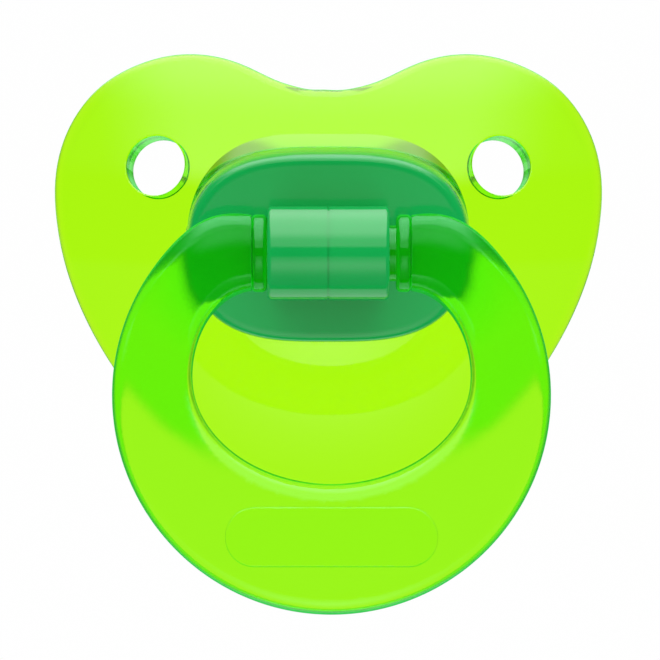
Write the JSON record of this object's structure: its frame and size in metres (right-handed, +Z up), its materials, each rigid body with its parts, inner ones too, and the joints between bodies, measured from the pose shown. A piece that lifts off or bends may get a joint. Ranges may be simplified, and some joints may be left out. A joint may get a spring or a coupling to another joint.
{
  "type": "baby soother with ring handle",
  "caption": "Butterfly-shaped domed shield with vent holes, an oval front holder carrying a swinging ring handle, and a hollow flattened teat behind.",
  "frame": {"origin": "where the teat axis crosses the plane touching the shield's domed front at its apex, level with the ring's hinge axis", "axes": "+Y along the teat axis towards the mouth, +Z up towards the shield's notch, +X to the right seen from the front"},
  "size_m": [0.0456, 0.0473, 0.0439],
  "materials": {
    "shield_plastic": "clear lime-tinted moulded plastic, polished",
    "holder_plastic": "milky green moulded plastic, glossy",
    "ring_plastic": "clear green-tinted moulded plastic, polished",
    "teat_silicone": "clear soft silicone, smooth",
    "plug_plastic": "natural moulded plastic"
  },
  "bodies": {
    "soother_body": {"shield": "shield_plastic", "ring_holder": "holder_plastic", "teat": "teat_silicone", "teat_plug": "plug_plastic"},
    "ring": {"ring_handle": "ring_plastic"}
  },
  "joints": [
    {"name": "ring_swing", "type": "hinge", "parent": "soother_body", "child": "ring", "pos_m": [0, -0.0078, 0], "axis": [-1, 0, 0], "range_deg": [-22, 178]}
  ]
}
